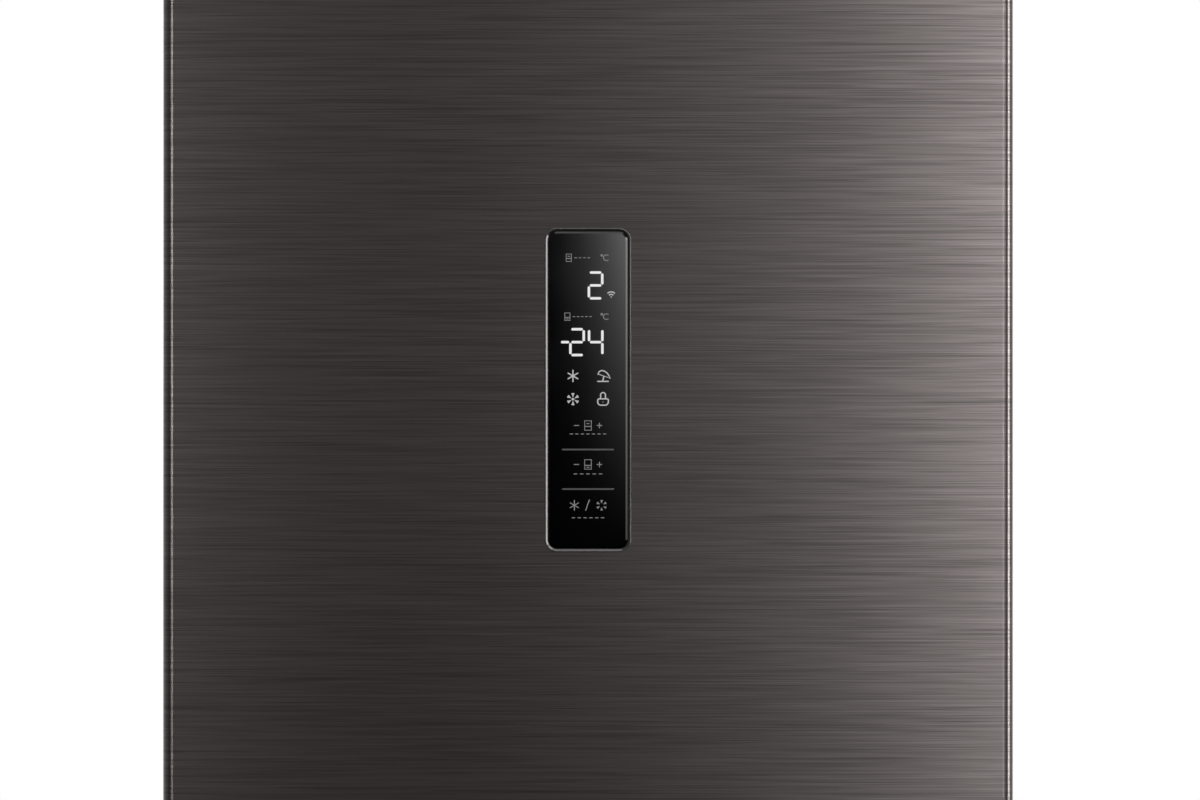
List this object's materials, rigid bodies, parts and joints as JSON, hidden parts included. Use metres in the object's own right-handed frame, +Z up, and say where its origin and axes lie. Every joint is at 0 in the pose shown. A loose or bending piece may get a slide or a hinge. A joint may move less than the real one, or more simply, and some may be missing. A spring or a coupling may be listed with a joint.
{
  "type": "fridge freezer",
  "caption": "Upright fridge freezer with dark brushed steel doors hung on the right, a touch display on the upper door, shelves, drawers, door bins and a compressor bay.",
  "frame": {"origin": "middle of the bounding box on the floor plane", "axes": "+Z up, doors face -Y, +X to the right of a person in front of the doors"},
  "size_m": [0.595, 0.66, 1.868],
  "materials": {
    "door_steel": "dark brushed steel with a horizontal grain",
    "display_frame_metal": "satin",
    "display_glass_black": "polished black",
    "cabinet_paint": "satin dark grey",
    "zinc_steel": "galvanised",
    "mullion_paint": "satin",
    "dark_plastic": "fine grain",
    "liner_white": "soft gloss white",
    "seal_grey": "matt",
    "foam": "cut foam",
    "clear_plastic": "clear moulded",
    "frosted_plastic": "frosted moulded",
    "shelf_glass": "clear toughened",
    "trim_silver": "satin silver",
    "hinge_steel": "grey painted",
    "screw_zinc": "zinc plated",
    "compressor_black": "gloss black",
    "bay_plastic": "fine grain",
    "rubber_black": "matt",
    "copper_pipe": "drawn copper",
    "evaporator_metal": "mill finish",
    "fan_plastic": "moulded",
    "lamp_plastic": "opal",
    "display_light": "lit print behind the display glass",
    "board_dark": "dark board",
    "foot_plastic": "moulded"
  },
  "bodies": {
    "cabinet": {"side_panels": "cabinet_paint", "top_panel": "cabinet_paint", "back_panel": "zinc_steel", "bay_panel": "zinc_steel", "base_plate": "zinc_steel", "compressor_tray": "zinc_steel", "mullion_rail": "mullion_paint", "foam_core": "foam", "fridge_liner": "liner_white", "freezer_liner": "liner_white", "kick_plate": "dark_plastic", "wall_spacers": "dark_plastic", "top_hinge": "hinge_steel", "top_hinge_cover": "dark_plastic", "middle_hinge": "hinge_steel", "bottom_hinge": "hinge_steel", "hinge_screws": "screw_zinc", "glass_shelves": "shelf_glass", "shelf_trims": "trim_silver", "air_duct_panel": "liner_white", "lamp_lens": "lamp_plastic", "damper_frame": "fan_plastic", "freezer_back_cover": "liner_white", "fan_motor": "fan_plastic", "evaporator": "evaporator_metal", "compressor": "compressor_black", "compressor_grommets": "rubber_black", "terminal_cover": "bay_plastic", "evaporation_dish": "bay_plastic", "refrigerant_pipes": "copper_pipe"},
    "fridge_door": {"fridge_door_skin": "door_steel", "fridge_door_grip": "dark_plastic", "fridge_door_foam": "foam", "fridge_door_end_caps": "dark_plastic", "fridge_door_liner": "liner_white", "fridge_door_seal": "seal_grey", "door_bins": "clear_plastic", "bottle_bin": "clear_plastic", "display_frame": "display_frame_metal", "display_glass": "display_glass_black", "display_board": "board_dark", "display_housing": "board_dark"},
    "freezer_door": {"freezer_door_skin": "door_steel", "freezer_door_grip": "dark_plastic", "freezer_door_foam": "foam", "freezer_door_end_caps": "dark_plastic", "freezer_door_liner": "liner_white", "freezer_door_seal": "seal_grey"},
    "vegetable_drawer": {"vegetable_drawer": "clear_plastic"},
    "humidity_slider": {"humidity_slider": "trim_silver"},
    "chill_drawer": {"chill_drawer": "clear_plastic"},
    "freezer_drawer_1": {"freezer_drawer_1": "frosted_plastic"},
    "freezer_drawer_2": {"freezer_drawer_2": "frosted_plastic"},
    "freezer_drawer_3": {"freezer_drawer_3": "frosted_plastic"},
    "evaporator_fan": {"evaporator_fan": "fan_plastic"},
    "damper_flap": {"damper_flap": "fan_plastic"},
    "front_foot_left": {"front_foot_left": "foot_plastic"},
    "front_foot_right": {"front_foot_right": "foot_plastic"},
    "rear_roller_left": {"rear_roller_left": "foot_plastic"},
    "rear_roller_right": {"rear_roller_right": "foot_plastic"}
  },
  "joints": [
    {"name": "fridge_door_hinge", "type": "hinge", "parent": "cabinet", "child": "fridge_door", "pos_m": [0.2835, -0.2994, 1.273], "axis": [0, 0, 1], "range_deg": [0, 110]},
    {"name": "freezer_door_hinge", "type": "hinge", "parent": "cabinet", "child": "freezer_door", "pos_m": [0.2835, -0.2994, 0.37], "axis": [0, 0, 1], "range_deg": [0, 110]},
    {"name": "fan_spin", "type": "hinge", "parent": "cabinet", "child": "evaporator_fan", "pos_m": [0, 0.1835, 0.537], "axis": [0, 1, 0], "continuous": true},
    {"name": "damper_turn", "type": "hinge", "parent": "cabinet", "child": "damper_flap", "pos_m": [0, 0.2348, 0.689], "axis": [1, 0, 0], "range_deg": [0, 75]},
    {"name": "left_foot_turn", "type": "hinge", "parent": "cabinet", "child": "front_foot_left", "pos_m": [-0.2125, -0.2061, 0], "axis": [0, 0, 1], "range_deg": [-360, 360]},
    {"name": "right_foot_turn", "type": "hinge", "parent": "cabinet", "child": "front_foot_right", "pos_m": [0.2125, -0.2061, 0], "axis": [0, 0, 1], "range_deg": [-360, 360]},
    {"name": "left_roller_spin", "type": "hinge", "parent": "cabinet", "child": "rear_roller_left", "pos_m": [-0.2375, 0.265, 0.02], "axis": [1, 0, 0], "continuous": true},
    {"name": "right_roller_spin", "type": "hinge", "parent": "cabinet", "child": "rear_roller_right", "pos_m": [0.2375, 0.265, 0.02], "axis": [1, 0, 0], "continuous": true},
    {"name": "vegetable_drawer_slide", "type": "slide", "parent": "cabinet", "child": "vegetable_drawer", "axis": [0, -1, 0], "range_m": [0, 0.1733]},
    {"name": "chill_drawer_slide", "type": "slide", "parent": "cabinet", "child": "chill_drawer", "axis": [0, -1, 0], "range_m": [0, 0.1349]},
    {"name": "freezer_drawer_1_slide", "type": "slide", "parent": "cabinet", "child": "freezer_drawer_1", "axis": [0, -1, 0], "range_m": [0, 0.1925]},
    {"name": "freezer_drawer_2_slide", "type": "slide", "parent": "cabinet", "child": "freezer_drawer_2", "axis": [0, -1, 0], "range_m": [0, 0.1445]},
    {"name": "freezer_drawer_3_slide", "type": "slide", "parent": "cabinet", "child": "freezer_drawer_3", "axis": [0, -1, 0], "range_m": [0, 0.0965]},
    {"name": "humidity_slide", "type": "slide", "parent": "vegetable_drawer", "child": "humidity_slider", "axis": [1, 0, 0], "range_m": [-0.0207, 0.0207]}
  ],
  "couplings": [
    {"joint": "vegetable_drawer_slide", "follows": "fridge_door_hinge", "m_per_rad": 0.09},
    {"joint": "chill_drawer_slide", "follows": "fridge_door_hinge", "m_per_rad": 0.07},
    {"joint": "freezer_drawer_1_slide", "follows": "freezer_door_hinge", "m_per_rad": 0.1},
    {"joint": "freezer_drawer_2_slide", "follows": "freezer_door_hinge", "m_per_rad": 0.075},
    {"joint": "freezer_drawer_3_slide", "follows": "freezer_door_hinge", "m_per_rad": 0.05}
  ]
}
